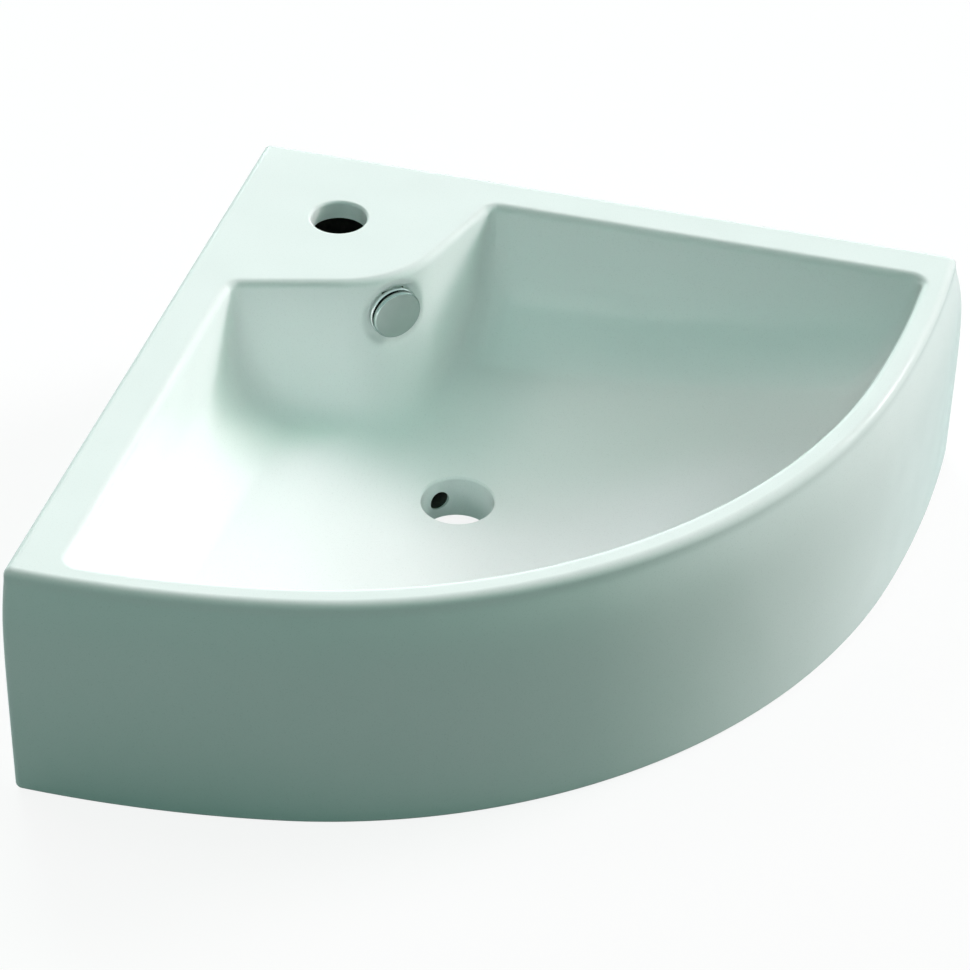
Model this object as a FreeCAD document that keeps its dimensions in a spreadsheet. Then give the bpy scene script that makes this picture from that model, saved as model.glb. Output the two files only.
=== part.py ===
"""Corner basin: a glazed ceramic casting with a push-in chrome overflow cover.

Millimetres, +Z up. The origin is the corner of the room at rim height: the left
wall is the plane X = 0, the back wall is the plane Y = 0, and the basin fills
the quarter X > 0, Y < 0 below Z = 0. It is symmetrical about the upright plane
through the diagonal Y = -X, where the tap hole, the overflow and the waste hole
lie. "Place" is measured along that diagonal from the room corner.
"""
import FreeCAD, Part
import math
import os
import re

import Sketcher
from FreeCAD import Placement, Rotation, Vector

# ---------------------------------------------------------------- driving sizes

SIZES = {
    # casting, seen from above
    "side_length": 450.0,         # along each room wall, at the rim
    "height": 150.0,
    "front_bow": 21.7,            # reach on the diagonal beyond side_length
    "end_arc_angle": 12.0,        # degrees of flatter arc at each end of the front
    "rim_band": 6.0,              # upright edge of the rim, above the front's shoulder
    "shoulder_drop": 28.0,        # foot of the shoulder, below the rim
    "shoulder_flare": 7.5,        # how far the front stands out there
    "skirt_flare": 11.5,          # how far the front stands out at its foot
    # walls of the casting
    "rim_side": 30.0,             # flat rim along each room wall
    "rim_front": 16.0,            # flat rim along the front
    "wall": 10.0,                 # skirt and bowl
    "deck": 12.0,                 # top, around the tap hole
    # bowl
    "wall_lean": 5.0,             # how far the bowl's walls lean in at full depth
    "drain_depth": 121.0,         # rim to waste hole
    "floor_slope": 12.0,          # degrees
    "bowl_foot": 11.0,            # radius between walls and floor
    "bowl_corner": 12.0,          # radius of its upright corners
    # tap ledge in the room corner
    "nose_place": 173.0,          # front of the ledge, on the diagonal
    "nose_radius": 70.0,
    "flank_angle": 17.0,          # degrees that each side of the ledge turns outwards
    # holes
    "tap_place": 100.4,
    "tap_radius": 17.5,
    "drain_place": 254.6,
    "drain_radius": 22.5,
    "boss_wall": 9.0,             # ceramic round the waste hole
    "boss_lift": 1.5,             # its lower face above the foot of the skirt
    "fixing_along": 100.0,        # wall fixing holes, from the room corner
    "fixing_drop": 75.0,          # wall fixing holes, below the rim
    "fixing_radius": 7.0,
    # overflow
    "overflow_drop": 27.5,        # hole in the ledge's front, below the rim
    "overflow_radius": 12.5,
    "landing_radius": 19.0,       # flat that the cover seats on
    "landing_sink": 2.5,          # how far it is let into the ledge's front
    "shaft_depth": 16.0,          # channel behind the ledge's front
    "shaft_width": 32.0,
    "duct_radius": 6.5,           # channel's mouth inside the waste hole
    "duct_drop": 13.5,            # below the floor
    "channel_wall": 7.0,
    # rounded edges
    "rim_edge": 4.0,
    "foot_edge": 3.0,
    "band_round": 8.0,            # hollow between the rim's edge and the shoulder
    "shoulder_round": 40.0,
    "skirt_corner": 5.0,
    "lip_edge": 5.0,
    "hole_edge": 2.0,
    # overflow cover, in order from the ceramic outwards
    "gasket_thickness": 1.0,
    "gasket_margin": 1.2,         # gasket inside the bezel's edge
    "bezel_radius": 16.5,
    "bezel_thickness": 1.8,
    "bezel_edge": 0.8,
    "collar_length": 4.0,
    "collar_wall": 1.0,
    "collar_clearance": 0.03,     # radial, bezel collar in the sleeve
    "sleeve_wall": 1.5,
    "sleeve_clearance": 0.25,     # radial, sleeve in the ceramic
    "hook_height": 1.2,
    "hook_length": 2.5,
    "hook_clearance": 0.3,        # behind the ceramic
    "finger_count": 6,
    "finger_slot": 2.0,
    "hub_wall": 2.2,
    "hub_length": 7.0,
    "spoke_width": 2.0,
    "spoke_length": 3.0,
    "spoke_count": 3,
    "cap_radius": 16.0,
    "cap_thickness": 3.2,
    "cap_edge": 1.2,
    "cap_gap": 1.8,               # ring-shaped gap that the water runs in through
    "shoulder_radius": 4.0,
    "stem_radius": 3.0,
    "stem_clearance": 0.05,       # radial, stem in the hub
    "ring_radius": 0.5,           # rubber ring's section
    "ring_squash": 0.02,          # radial, ring short of the hub's bore
}

# ---------------------------------------------------------------- worked-out sizes

DERIVED = {
    "half_root": "sqrt(2) / 2",
    # front outline: an end arc about a point on each room wall's line, and a middle
    # arc about a point on the diagonal, tangent to both
    "arc_shift": "front_bow / (cos(end_arc_angle) - 1 + (sqrt(2) - 1) * sin(end_arc_angle))",
    "end_radius": "side_length + arc_shift * (cos(end_arc_angle) - sin(end_arc_angle))",
    "end_centre": "side_length - end_radius",
    "middle_radius": "end_radius - arc_shift",
    # ledge: its two sides would meet at this place if its front were not rounded
    "ledge_point": "nose_place + nose_radius * (1 / sin(45 + flank_angle) - 1)",
    # ceramic below the bowl, measured upright
    "floor_wall": "wall / cos(floor_slope)",
    "duct_level": "-drain_depth - duct_drop",
    "channel_front": "nose_place - wall",
    "channel_back": "channel_front - shaft_depth",
    # overflow cover, measured outwards from the flat that it seats on
    "seat_place": "nose_place - landing_sink",
    "ceramic_back": "channel_front - seat_place",
    "sleeve_radius": "overflow_radius - sleeve_clearance",
    "sleeve_bore": "sleeve_radius - sleeve_wall",
    "hook_front": "ceramic_back - hook_clearance",
    "sleeve_back": "hook_front - hook_length",
    "collar_back": "gasket_thickness - collar_length",
    "collar_radius": "sleeve_bore - collar_clearance",
    "bezel_front": "gasket_thickness + bezel_thickness",
    "cap_back": "bezel_front + cap_gap",
    "spoke_front": "collar_back - collar_clearance",
    "hub_bore": "stem_radius + stem_clearance",
    "hub_radius": "hub_bore + hub_wall",
    "hub_back": "spoke_front - hub_length",
    "ring_centre": "hub_bore - ring_squash - ring_radius",
    "ring_place": "spoke_front - hub_length / 2",
}

doc = FreeCAD.newDocument("corner_basin")
sheet = doc.addObject("Spreadsheet::Sheet", "Sizes")
aliases = set()


def put(alias, content):
    """One row of the sheet: the name in column A, its value or formula in column B."""
    aliases.add(alias)
    row = len(aliases)
    sheet.set("A%d" % row, alias)
    sheet.set("B%d" % row, content)
    sheet.setAlias("B%d" % row, alias)


for alias, value in SIZES.items():
    put(alias, str(value))
for alias, formula in DERIVED.items():
    put(alias, "=" + formula)
doc.recompute()


def bound(formula):
    """The formula with each size's name pointing into the sheet."""
    return re.sub(r"[a-z]+(_[a-z]+)*", lambda word: "Sizes." * (word[0] in aliases) + word[0], formula)


def number(formula):
    return float(sheet.evalExpression(formula))


def bind(item, **formulas):
    """Ties properties to the sheet; a double underscore stands for a dot."""
    for name, formula in formulas.items():
        item.setExpression(name.replace("__", "."), bound(formula))


# ---------------------------------------------------------------- drawing helpers

def new_body(name):
    body = doc.addObject("PartDesign::Body", name)
    body.Label = name
    return body


def on_diagonal(body, place="0", level="0"):
    """Turns a body so that its X runs along the diagonal, away from the room corner."""
    body.Placement = Placement(Vector(), Rotation(Vector(0, 0, 1), -45))
    bind(body, Placement__Base__x="(%s) * half_root" % place,
         Placement__Base__y="-(%s) * half_root" % place, Placement__Base__z=level)


def plane_of(body, role):
    return next(item for item in body.Origin.OriginFeatures if item.Role == role)


def new_sketch(body, name, role="XY_Plane", level="0"):
    sketch = body.newObject("Sketcher::SketchObject", name)
    sketch.AttachmentSupport = [(plane_of(body, role), "")]
    sketch.MapMode = "FlatFace"
    bind(sketch, AttachmentOffset__Base__z=level)
    return sketch


def pin(sketch, index, point, formula_x, formula_y):
    """Ties one point of a sketch to two formulas."""
    for kind, formula in (("DistanceX", formula_x), ("DistanceY", formula_y)):
        place = sketch.addConstraint(Sketcher.Constraint(kind, -1, 1, index, point, number(formula)))
        sketch.setExpression("Constraints[%d]" % place, bound(formula))


def draw_loop(sketch, corners):
    """A closed outline. A corner is (x, y), or (x, y, radius, middle x, middle y) when
    an arc about that middle leads from it to the next corner."""
    count = len(corners)
    spots = [Vector(number(corner[0]), number(corner[1]), 0) for corner in corners]
    for index, corner in enumerate(corners):
        start, end = spots[index], spots[(index + 1) % count]
        if len(corner) == 2:
            sketch.addGeometry(Part.LineSegment(start, end))
            continue
        middle = Vector(number(corner[3]), number(corner[4]), 0)
        angles = [math.atan2(spot.y - middle.y, spot.x - middle.x) for spot in (start, end)]
        if (angles[1] - angles[0]) % (2 * math.pi) > math.pi:
            angles.reverse()
        circle = Part.Circle(middle, Vector(0, 0, 1), number(corner[2]))
        sketch.addGeometry(Part.ArcOfCircle(circle, *angles))
    heads = [1 if (curve.StartPoint - spot).Length < 1e-4 else 2
             for curve, spot in zip(sketch.Geometry, spots)]
    for index, corner in enumerate(corners):
        follower = (index + 1) % count
        sketch.addConstraint(Sketcher.Constraint(
            "Coincident", index, 3 - heads[index], follower, heads[follower]))
    for index, corner in enumerate(corners):
        pin(sketch, index, heads[index], corner[0], corner[1])
        if len(corner) > 2:
            place = sketch.addConstraint(Sketcher.Constraint("Radius", index, number(corner[2])))
            sketch.setExpression("Constraints[%d]" % place, bound(corner[2]))


def draw_circle(sketch, formula_x, formula_y, radius):
    middle = Vector(number(formula_x), number(formula_y), 0)
    index = sketch.addGeometry(Part.Circle(middle, Vector(0, 0, 1), number(radius)))
    pin(sketch, index, 3, formula_x, formula_y)
    place = sketch.addConstraint(Sketcher.Constraint("Radius", index, number(radius)))
    sketch.setExpression("Constraints[%d]" % place, bound(radius))


def loft(body, name, plans, cut=False):
    """Straight walls from each plan to the next."""
    solid = body.newObject("PartDesign::SubtractiveLoft" if cut else "PartDesign::AdditiveLoft", name)
    solid.Profile = plans[0]
    solid.Sections = plans[1:]
    solid.Ruled = True
    doc.recompute()


def revolve(body, name, sketch, axis="H_Axis", cut=False):
    """Turns a sketch full circle about its own horizontal or vertical axis."""
    solid = body.newObject("PartDesign::Groove" if cut else "PartDesign::Revolution", name)
    solid.Profile = sketch
    solid.ReferenceAxis = (sketch, [axis])
    solid.Angle = 360
    doc.recompute()


def turn(body, name, corners):
    """A profile in the body's XZ plane, turned about its X axis."""
    sketch = new_sketch(body, name + "_profile", "XZ_Plane")
    draw_loop(sketch, corners)
    revolve(body, name, sketch)


def extrude(body, name, sketch, length, cut=False, reverse=False):
    solid = body.newObject("PartDesign::Pocket" if cut else "PartDesign::Pad", name)
    solid.Profile = sketch
    solid.Reversed = reverse
    bind(solid, Length=length)
    doc.recompute()
    return solid


def round_edges(body, name, radius, test):
    """Rounds every edge of the body's last feature that passes the test."""
    base = body.Tip
    edges = ["Edge%d" % (index + 1) for index, edge in enumerate(base.Shape.Edges) if test(edge)]
    if not edges:
        raise RuntimeError("no edge to round for " + name)
    fillet = body.newObject("PartDesign::Fillet", name)
    fillet.Base = (base, edges)
    bind(fillet, Radius=radius)
    doc.recompute()


def combine(body, name, kind, tools):
    """Adds or removes whole bodies."""
    joined = body.newObject("PartDesign::Boolean", name)
    joined.setObjects(tools)
    joined.Type = kind
    doc.recompute()


# ---------------------------------------------------------------- which edges to round

SLACK = 0.01        # how near an edge must lie to the place it is looked for at
STEEP = 3.0         # least rise over run of an edge that counts as upright


def upright(edge):
    """True for an edge that runs up and down a wall."""
    box = edge.BoundBox
    return box.ZLength > max(STEEP * box.XLength, STEEP * box.YLength, SLACK)


def middle_of(edge):
    first, last = edge.ParameterRange
    return edge.valueAt((first + last) / 2)


def at_level(edge, level):
    return max(abs(edge.BoundBox.ZMin - level), abs(edge.BoundBox.ZMax - level)) < SLACK


def is_circle(edge, radius):
    return isinstance(edge.Curve, Part.Circle) and abs(edge.Curve.Radius - number(radius)) < SLACK


def across_axis(edge, place):
    """True for a round edge that lies across its own body's X at that place."""
    return isinstance(edge.Curve, Part.Circle) and abs(edge.Curve.Center.x - place) < SLACK


# ---------------------------------------------------------------- plans of the casting

def front_corners(side, front):
    """The bowed front, seen from above, from the back wall round to the left wall.
    side and front are how far it is let in from the walls and from the front."""
    end = "(end_radius - (%s))" % front
    middle = "(middle_radius - (%s))" % front
    far = "end_centre + sqrt(%s ^ 2 - (%s) ^ 2)" % (end, side)
    join_far = "end_centre + %s * cos(end_arc_angle)" % end
    join_near = "%s * sin(end_arc_angle)" % end
    centre = "arc_shift * sin(end_arc_angle)"
    return [(far, "-(%s)" % side, end, "end_centre", "0"),
            (join_far, "-" + join_near, middle, centre, "-" + centre),
            (join_near, "-(%s)" % join_far, end, "0", "-end_centre"),
            (side, "-(%s)" % far)]


def quarter_plan(body, name, level, side, front):
    """Plan of the whole casting: the room corner, two straight sides and the front."""
    sketch = new_sketch(body, name, level=level)
    draw_loop(sketch, front_corners(side, front) + [(side, "-(%s)" % side)])
    return sketch


def bowl_plan(body, name, level, side, front, ledge):
    """Plan of the bowl: as the casting's, with the tap ledge standing into it.
    ledge is how far the ledge's sides are moved towards the room corner."""
    point = "(ledge_point - (%s) / sin(45 + flank_angle)) * half_root" % ledge
    start = "(%s) * (1 + tan(flank_angle)) - (%s) * tan(flank_angle)" % (point, side)
    sketch = new_sketch(body, name, level=level)
    draw_loop(sketch, front_corners(side, front) + [
        (side, "-(%s)" % start), (point, "-(%s)" % point), (start, "-(%s)" % side)])
    return sketch


def bowl_form(name, offset, foot):
    """The bowl as a solid, its walls leaning in with depth and its floor a shallow
    cone round the waste hole. offset is the ceramic added outside it."""
    body = new_body(name)
    upper = bowl_plan(body, name + "_upper", "0", "rim_side - (%s)" % offset,
                      "rim_front - (%s)" % offset, offset)
    lower = bowl_plan(body, name + "_lower", "-height", "rim_side + wall_lean - (%s)" % offset,
                      "rim_front + wall_lean - (%s)" % offset, "(%s) - wall_lean" % offset)
    loft(body, name + "_walls", [upper, lower])
    sides = number("rim_side + wall_lean")
    floor = -number("drain_depth + (%s) / cos(floor_slope)" % offset)

    def at_nose(edge):
        spot = middle_of(edge)
        return upright(edge) and abs(spot.x + spot.y) < SLACK

    def at_corner(edge):
        spot = middle_of(edge)
        return upright(edge) and (spot.x < sides or spot.y > -sides)

    def at_foot(edge):
        return edge.BoundBox.ZMax < floor / 2 and edge.BoundBox.ZMin > floor + SLACK

    round_edges(body, name + "_nose", "nose_radius - (%s)" % offset, at_nose)
    round_edges(body, name + "_corners", "bowl_corner + (%s)" % offset, at_corner)
    cut_floor(body, name + "_floor", "(%s) / cos(floor_slope)" % offset)
    round_edges(body, name + "_foot", foot, at_foot)
    return body


def cut_floor(body, name, drop):
    """Takes away all that lies below the floor's cone."""
    sketch = new_sketch(body, name + "_profile", "XZ_Plane")
    middle = "drain_place * half_root"
    bind(sketch, AttachmentOffset__Base__x=middle, AttachmentOffset__Base__z=middle)
    level = "-(drain_depth + (%s))" % drop
    reach = "2 * side_length"
    draw_loop(sketch, [("0", level), ("drain_radius", level),
                       (reach, "%s + (%s - drain_radius) * tan(floor_slope)" % (level, reach)),
                       (reach, "-2 * height"), ("0", "-2 * height")])
    revolve(body, name, sketch, "V_Axis", cut=True)


def channel_form(name, margin):
    """The overflow channel, in the diagonal frame: a shaft down behind the ledge's
    front and a round duct from its foot into the waste hole."""
    body = new_body(name)
    on_diagonal(body)
    plan = new_sketch(body, name + "_plan", level="duct_level - duct_radius - (%s)" % margin)
    across = "(shaft_width / 2 + (%s))" % margin
    back = "channel_back - (%s)" % margin
    draw_loop(plan, [(back, "-" + across), ("channel_front", "-" + across),
                     ("channel_front", across), (back, across)])
    top = "-deck - (duct_level - duct_radius - (%s))" % margin
    extrude(body, name + "_shaft", plan, top)
    section = new_sketch(body, name + "_section", "YZ_Plane", level="channel_back + shaft_depth / 2")
    draw_circle(section, "0", "duct_level", "duct_radius + (%s)" % margin)
    extrude(body, name + "_duct", section, "drain_place - channel_back - shaft_depth / 2")
    return body


def front_form():
    """The front as a solid that runs back into the room walls: an upright band under
    the rim, a shoulder that stands out quickly, and the skirt down to its foot."""
    body = new_body("front_form")
    loft(body, "front_walls", [
        quarter_plan(body, "rim_plan", "0", "-wall", "0"),
        quarter_plan(body, "band_plan", "-rim_band", "-wall", "0"),
        quarter_plan(body, "shoulder_plan", "-shoulder_drop", "-wall", "-shoulder_flare"),
        quarter_plan(body, "foot_plan", "-height", "-wall", "-skirt_flare")])
    reach = number("wall")

    def seam(level):
        return lambda edge: at_level(edge, level) and middle_of(edge).x > reach > -reach > middle_of(edge).y

    round_edges(body, "band_rounding", "band_round", seam(-number("rim_band")))
    round_edges(body, "shoulder_rounding", "shoulder_round", seam(-number("shoulder_drop")))
    return body


def build_basin():
    """The casting: a hollow outer shell, open below, and the bowl hung inside it."""
    body = new_body("basin_body")
    square = new_sketch(body, "square", level="-height")
    reach = "2 * side_length"
    draw_loop(square, [("0", "0"), ("0", "-" + reach), (reach, "-" + reach), (reach, "0")])
    extrude(body, "block", square, "height")
    combine(body, "front_shaped", "Common", [front_form()])
    room_corner = number("wall")
    round_edges(body, "skirt_corners", "skirt_corner",
                lambda edge: upright(edge) and max(middle_of(edge).x, -middle_of(edge).y) > room_corner)
    round_edges(body, "rim_rounding", "rim_edge", lambda edge: at_level(edge, 0))
    foot = -number("height")
    round_edges(body, "foot_rounding", "foot_edge", lambda edge: at_level(edge, foot))

    loft(body, "hollow", [
        quarter_plan(body, "hollow_top", "-deck", "wall", "wall"),
        quarter_plan(body, "hollow_shoulder", "-shoulder_drop", "wall", "wall - shoulder_flare"),
        quarter_plan(body, "hollow_foot", "-height", "wall", "wall - skirt_flare")], cut=True)

    combine(body, "bowl_joined", "Fuse", [bowl_form("bowl_shell", "wall", "bowl_foot + wall")])
    boss = new_sketch(body, "boss_circle", level="boss_lift - height")
    middle = "drain_place * half_root"
    draw_circle(boss, middle, "-" + middle, "drain_radius + boss_wall")
    extrude(body, "boss", boss, "height - boss_lift - drain_depth - floor_wall / 2")
    combine(body, "channel_joined", "Fuse", [channel_form("channel_shell", "channel_wall")])

    bowl = bowl_form("bowl_space", "0", "bowl_foot")
    combine(body, "bowl_emptied", "Cut", [bowl])
    combine(body, "channel_opened", "Cut", [channel_form("channel_space", "0"), overflow_hole()])

    waste = new_sketch(body, "waste_circle")
    draw_circle(waste, middle, "-" + middle, "drain_radius")
    extrude(body, "waste_hole", waste, "height", cut=True)
    tap = new_sketch(body, "tap_circle")
    draw_circle(tap, "tap_place * half_root", "-tap_place * half_root", "tap_radius")
    extrude(body, "tap_hole", tap, "2 * deck", cut=True)
    left = new_sketch(body, "left_fixing_circle", "YZ_Plane")
    draw_circle(left, "-fixing_along", "-fixing_drop", "fixing_radius")
    extrude(body, "left_fixing_hole", left, "2 * wall", cut=True, reverse=True)
    back = new_sketch(body, "back_fixing_circle", "XZ_Plane")
    draw_circle(back, "fixing_along", "-fixing_drop", "fixing_radius")
    extrude(body, "back_fixing_hole", back, "2 * wall", cut=True, reverse=True)
    round_edges(body, "tap_rounding", "hole_edge",
                lambda edge: at_level(edge, 0) and is_circle(edge, "tap_radius"))
    floor = -number("drain_depth")
    round_edges(body, "waste_rounding", "hole_edge",
                lambda edge: at_level(edge, floor) and is_circle(edge, "drain_radius"))
    space = bowl.Shape
    round_edges(body, "lip_rounding", "lip_edge",
                lambda edge: at_level(edge, 0) and space.isInside(middle_of(edge), 0.05, True))
    return body


def overflow_hole():
    """The round hole through the ledge's front, and the flat around it."""
    body = new_body("overflow_form")
    on_diagonal(body)
    for name, start, length, radius in (
            ("landing", "seat_place", "2 * landing_sink", "landing_radius"),
            ("passage", "channel_front - shaft_depth / 2", "shaft_depth", "overflow_radius")):
        section = new_sketch(body, name + "_section", "YZ_Plane", level=start)
        draw_circle(section, "0", "-overflow_drop", radius)
        extrude(body, name, section, length)
    return body


def cover_body(name):
    """A piece of the overflow cover: its X runs out of the ledge's front, from the
    middle of the flat that the cover seats on."""
    body = new_body(name)
    on_diagonal(body, "seat_place", "-overflow_drop")
    return body


def ring_profile(back, front, inner, outer):
    return [(back, inner), (front, inner), (front, outer), (back, outer)]


def build_gasket():
    """A flat rubber ring between the bezel and the ceramic."""
    body = cover_body("overflow_gasket")
    turn(body, "washer", ring_profile("0", "gasket_thickness", "overflow_radius",
                                      "bezel_radius - gasket_margin"))
    return body


def build_bezel():
    """A chromed ring with a short collar that is glued into the sleeve."""
    body = cover_body("overflow_bezel")
    inner = "collar_radius - collar_wall"
    turn(body, "ring", [("collar_back", inner), ("bezel_front", inner), ("bezel_front", "bezel_radius"),
                        ("gasket_thickness", "bezel_radius"), ("gasket_thickness", "collar_radius"),
                        ("collar_back", "collar_radius")])
    front = number("bezel_front")
    round_edges(body, "ring_rounding", "bezel_edge",
                lambda edge: across_axis(edge, front) and is_circle(edge, "bezel_radius"))
    return body


def build_sleeve():
    """A plastic sleeve that snaps into the ceramic: fingers with hooks at its back,
    and a hub on three spokes that holds the cap's stem."""
    body = cover_body("overflow_sleeve")
    hook = "sleeve_radius + hook_height"
    turn(body, "tube", [("sleeve_back", "sleeve_bore"), ("gasket_thickness", "sleeve_bore"),
                        ("gasket_thickness", "sleeve_radius"), ("hook_front", "sleeve_radius"),
                        ("hook_front", hook), ("sleeve_back", "sleeve_radius")])
    slot = new_sketch(body, "slot_outline", "YZ_Plane", level="sleeve_back")
    draw_loop(slot, [("0", "-finger_slot / 2"), ("sleeve_radius + 2 * hook_height", "-finger_slot / 2"),
                     ("sleeve_radius + 2 * hook_height", "finger_slot / 2"), ("0", "finger_slot / 2")])
    cut = extrude(body, "slot", slot, "spoke_front - spoke_length - sleeve_back", cut=True, reverse=True)
    repeat(body, "slots", cut, "finger_count")
    turn(body, "hub", ring_profile("hub_back", "spoke_front", "hub_bore", "hub_radius"))
    bar = new_sketch(body, "spoke_outline", "YZ_Plane", level="spoke_front - spoke_length")
    draw_loop(bar, [("hub_bore + hub_wall / 2", "-spoke_width / 2"),
                    ("sleeve_bore + sleeve_wall / 2", "-spoke_width / 2"),
                    ("sleeve_bore + sleeve_wall / 2", "spoke_width / 2"),
                    ("hub_bore + hub_wall / 2", "spoke_width / 2")])
    spoke = extrude(body, "spoke", bar, "spoke_length")
    repeat(body, "spokes", spoke, "spoke_count")
    return body


def repeat(body, name, feature, count):
    """Copies a feature evenly round the body's X axis."""
    pattern = body.newObject("PartDesign::PolarPattern", name)
    pattern.Originals = [feature]
    pattern.Axis = (plane_of(body, "X_Axis"), [""])
    pattern.Angle = 360
    bind(pattern, Occurrences=count)
    body.Tip = pattern
    doc.recompute()


def build_cap():
    """A chromed disc on a stem, pushed into the sleeve's hub by hand. Its shoulder
    keeps it off the bezel, and a groove in the stem holds the rubber ring."""
    body = cover_body("overflow_cap")
    groove_back = "ring_place - ring_radius"
    groove_front = "ring_place + ring_radius"
    groove_floor = "ring_centre - ring_radius"
    turn(body, "disc_and_stem", [
        ("hub_back", "0"), ("cap_back + cap_thickness", "0"), ("cap_back + cap_thickness", "cap_radius"),
        ("cap_back", "cap_radius"), ("cap_back", "shoulder_radius"), ("spoke_front", "shoulder_radius"),
        ("spoke_front", "stem_radius"), (groove_front, "stem_radius"), (groove_front, groove_floor),
        (groove_back, groove_floor), (groove_back, "stem_radius"), ("hub_back", "stem_radius")])
    back = number("cap_back")
    front = number("cap_back + cap_thickness")
    round_edges(body, "disc_rounding", "cap_edge",
                lambda edge: is_circle(edge, "cap_radius") and (across_axis(edge, front)
                                                                or across_axis(edge, back)))
    return body


def build_ring():
    """A rubber ring in the stem's groove: its grip in the hub holds the cap."""
    body = cover_body("cap_ring")
    sketch = new_sketch(body, "ring_section", "XZ_Plane")
    draw_circle(sketch, "ring_place", "ring_centre", "ring_radius")
    revolve(body, "rubber", sketch)
    return body


# ---------------------------------------------------------------- build, check, write

NODES = [build_basin(), build_gasket(), build_sleeve(), build_bezel(), build_cap(), build_ring()]
doc.recompute()

for item in doc.Objects:
    if "Invalid" in item.State or "Error" in item.State:
        raise RuntimeError("%s did not build: %s" % (item.Name, item.getStatusString()))
os.makedirs("parts", exist_ok=True)
for node in NODES:
    shape = node.Shape
    if shape.isNull() or not shape.isValid() or len(shape.Solids) != 1:
        raise RuntimeError("%s is not one sound solid" % node.Label)
    shape.exportStep("parts/%s.step" % node.Label)
    print(node.Label, round(shape.Volume, 1))
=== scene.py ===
"""Corner basin in glazed ceramic with a chromed push-in overflow cover."""

import bmesh
import bpy
import numpy as np
from mathutils import Matrix


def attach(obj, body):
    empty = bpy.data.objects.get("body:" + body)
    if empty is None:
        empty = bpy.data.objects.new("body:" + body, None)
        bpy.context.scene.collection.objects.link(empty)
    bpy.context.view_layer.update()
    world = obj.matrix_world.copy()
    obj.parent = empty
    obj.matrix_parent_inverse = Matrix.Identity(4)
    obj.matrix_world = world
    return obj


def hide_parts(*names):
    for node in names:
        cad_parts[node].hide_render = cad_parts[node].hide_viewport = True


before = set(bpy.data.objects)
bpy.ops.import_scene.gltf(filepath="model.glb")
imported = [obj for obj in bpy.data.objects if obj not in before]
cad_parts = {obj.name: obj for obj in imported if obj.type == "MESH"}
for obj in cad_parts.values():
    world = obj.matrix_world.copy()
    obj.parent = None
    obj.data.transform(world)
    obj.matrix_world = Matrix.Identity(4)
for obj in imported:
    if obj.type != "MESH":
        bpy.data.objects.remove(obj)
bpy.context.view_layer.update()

# ---------------------------------------------------------------- ceramic casting
# The basin itself: one hollow slip casting in white vitreous china, open below, with
# the bowl hung inside its skirt. It is glazed all over but for the ground foot.
# Sizes are in millimetres; p runs along the back wall and q along the left wall.
SIDE, DEPTH = 450.0, 150.0
FRONT_BOW, END_ARC = 21.7, np.radians(12)
ARC_SHIFT = FRONT_BOW / (np.cos(END_ARC) - 1 + (np.sqrt(2) - 1) * np.sin(END_ARC))
END_RADIUS = SIDE + ARC_SHIFT * (np.cos(END_ARC) - np.sin(END_ARC))
END_CENTRE, MIDDLE_CENTRE = SIDE - END_RADIUS, ARC_SHIFT * np.sin(END_ARC)
SKIRT_CORNER, ROOM_CORNER, RIM_EDGE, FOOT_EDGE, WALL, DECK = 4.5, 3.0, 5.0, 3.0, 10.0, 12.0
# how far the front stands out at each depth: it is upright just below the rim's edge,
# then a soft shoulder stands out, and the skirt flares a little down to its foot
FLARE_DEPTH = np.array([0, 5, 8, 12, 16, 22, 30, 40, 55, 75, 100, 150])
FLARE_REACH = np.array([0, 0, 0.5, 1.8, 3.1, 4.8, 6.5, 7.8, 8.9, 9.7, 10.3, 11.3])
# the same for the skirt's back, which ends at the hollow's roof
HOLLOW_DEPTH, HOLLOW_REACH = np.array([12.0, 28, 150]), np.array([0, 7.5, 11.4])
RIM_SIDE, RIM_FRONT, LEAN = 30.0, 16.0, 5.0 / DEPTH
FLANK, NOSE_RADIUS, NOSE_PLACE = np.radians(17), 70.0, 173.0
LEDGE_POINT = NOSE_PLACE + NOSE_RADIUS * (1 / np.sin(np.pi / 4 + FLANK) - 1)
DRAIN_PLACE, DRAIN_RADIUS, DRAIN_DEPTH, FLOOR_SLOPE = 254.6, 22.5, 121.0, np.radians(12)
BOSS_RADIUS, BOSS_LIFT, HOLE_EDGE = 31.5, 1.5, 2.0
LIP, FOOT_RADIUS = 5.0, 45.0
# the bowl's upright corners and the nooks beside the ledge open down to this depth
CORNER_TOP, CORNER_LOW, NOOK_TOP, NOOK_LOW, OPEN_DEPTH = 7.0, 30.0, 5.0, 15.0, 70.0
TAP_PLACE, TAP_RADIUS = 100.4, 17.5
COVER_LEVEL, COVER_RADIUS, SEAT_PLACE, SEAT_RADIUS, SEAT_FADE = -27.5, 12.5, 170.5, 17.5, 24.0
CHAMBER_PLACE, DUCT_LEVEL, DUCT_RADIUS = 155.0, -134.5, 6.5
FIXING_PLACE, FIXING_LEVEL, FIXING_RADIUS = 100.0, -75.0, 7.0
# points along each part of the half outline, and which part and share of it each is at
COLUMNS = dict(middle=42, end=20, corner=14, side=56, nook=14, flank=30, nose=34)
PART = np.repeat(np.arange(7), list(COLUMNS.values()))
SHARE = np.concatenate([np.arange(count) / count for count in COLUMNS.values()])
PART, SHARE = np.append(PART, 6), np.append(SHARE, 1.0)


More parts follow.
